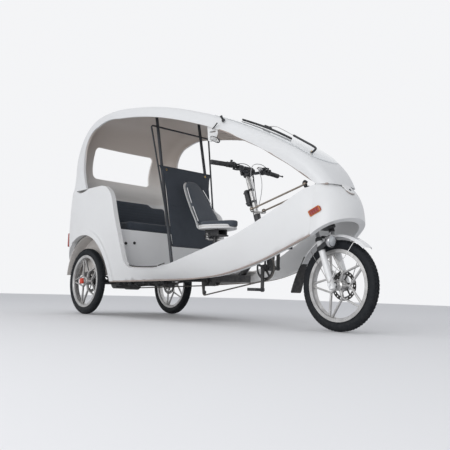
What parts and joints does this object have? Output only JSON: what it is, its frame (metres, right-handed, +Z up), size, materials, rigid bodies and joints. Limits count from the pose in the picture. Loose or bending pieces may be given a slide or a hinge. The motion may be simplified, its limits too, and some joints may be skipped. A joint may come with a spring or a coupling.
{
  "type": "passenger pedal cycle",
  "caption": "Three-wheeled pedal cycle with a moulded hull and roof, a rider's seat in front of a partition and a bench for passengers behind it.",
  "frame": {"origin": "on the ground, under the middle of the whole vehicle's bounding box", "axes": "+X forward, +Y to the rider's left, +Z up"},
  "size_m": [2.9452, 1.1116, 1.7464],
  "materials": {
    "hull": "satin moulded white",
    "lining": "matt warm grey",
    "frame": "satin black",
    "fabric": "dark blue grey woven",
    "curtain": "dark canvas",
    "mat": "ribbed black",
    "screen": "clear",
    "wiper": "black",
    "rim": "satin cast",
    "tyre": "black",
    "chrome": "polished",
    "steel": "brushed",
    "chain": "oiled",
    "fork_white": "gloss white",
    "grip": "black",
    "plastic_black": "black",
    "lamp_red": "red lens",
    "seat_shell": "white"
  },
  "bodies": {
    "chassis": {"hull_rear": "hull", "hull_side_right": "hull", "hull_side_left": "hull", "hull_nose": "hull", "roof_shell": "hull", "windscreen": "screen", "wiper": "wiper", "wheel_housings": "lining", "floor_pan": "lining", "floor_mat": "mat", "bench_box": "hull", "bench_cushion": "fabric", "bench_back": "fabric", "partition_frame": "steel", "curtain": "curtain", "rider_pad": "fabric", "rider_shell": "seat_shell", "chassis_frame": "frame", "rear_axle": "frame", "chain": "chain", "derailleur": "frame", "roof_fittings": "seat_shell", "marker_lamps": "lamp_red"},
    "fork": {"fork_crown": "frame", "fork_stanchions": "chrome", "fork_lowers": "fork_white", "mudguard": "fork_white", "mud_flap": "mat", "headlamp": "chrome"},
    "handlebar_set": {"steering_stem": "steel", "handlebar": "frame", "grips": "grip", "bar_controls": "plastic_black", "stem_pouch": "fabric"},
    "tie_rod_right": {"tie_rod_right": "frame"},
    "tie_rod_left": {"tie_rod_left": "frame"},
    "front_wheel": {"front_wheel_rim": "rim", "front_wheel_tyre": "tyre"},
    "rear_wheel_right": {"rear_wheel_right_rim": "rim", "rear_wheel_right_tyre": "tyre"},
    "rear_wheel_left": {"rear_wheel_left_rim": "rim", "rear_wheel_left_tyre": "tyre"},
    "crank": {"crankset": "steel"},
    "pedal_right": {"pedal_right": "plastic_black"},
    "pedal_left": {"pedal_left": "plastic_black"}
  },
  "joints": [
    {"name": "fork_turn", "type": "hinge", "parent": "chassis", "child": "fork", "pos_m": [0.99079, 0, 0.77455], "axis": [-0.342, 0, 0.9397], "range_deg": [-30, 30]},
    {"name": "handlebar_turn", "type": "hinge", "parent": "chassis", "child": "handlebar_set", "pos_m": [0.48902, 0, 0.67762], "axis": [-0.342, 0, 0.9397], "range_deg": [-30, 30]},
    {"name": "tie_rod_right_swing", "type": "hinge", "parent": "handlebar_set", "child": "tie_rod_right", "pos_m": [0.46463, -0.06, 0.80602], "axis": [-0.342, 0, 0.9397], "range_deg": [-30, 30]},
    {"name": "tie_rod_left_swing", "type": "hinge", "parent": "handlebar_set", "child": "tie_rod_left", "pos_m": [0.46463, 0.06, 0.80602], "axis": [-0.342, 0, 0.9397], "range_deg": [-30, 30]},
    {"name": "front_wheel_spin", "type": "hinge", "parent": "fork", "child": "front_wheel", "pos_m": [1.1935, 0, 0.279], "axis": [0, 1, 0], "continuous": true},
    {"name": "rear_wheel_right_spin", "type": "hinge", "parent": "chassis", "child": "rear_wheel_right", "pos_m": [-1.1505, -0.452, 0.279], "axis": [0, 1, 0], "continuous": true},
    {"name": "rear_wheel_left_spin", "type": "hinge", "parent": "chassis", "child": "rear_wheel_left", "pos_m": [-1.1505, 0.452, 0.279], "axis": [0, 1, 0], "continuous": true},
    {"name": "crank_spin", "type": "hinge", "parent": "chassis", "child": "crank", "pos_m": [0.6015, 0, 0.392], "axis": [0, 1, 0], "continuous": true},
    {"name": "pedal_right_spin", "type": "hinge", "parent": "crank", "child": "pedal_right", "pos_m": [0.6015, -0.134, 0.242], "axis": [0, 1, 0], "continuous": true},
    {"name": "pedal_left_spin", "type": "hinge", "parent": "crank", "child": "pedal_left", "pos_m": [0.6015, 0.134, 0.542], "axis": [0, 1, 0], "continuous": true}
  ],
  "couplings": [
    {"joint": "handlebar_turn", "follows": "fork_turn", "ratio": 1},
    {"joint": "tie_rod_right_swing", "follows": "fork_turn", "ratio": -1},
    {"joint": "tie_rod_left_swing", "follows": "fork_turn", "ratio": -1}
  ]
}
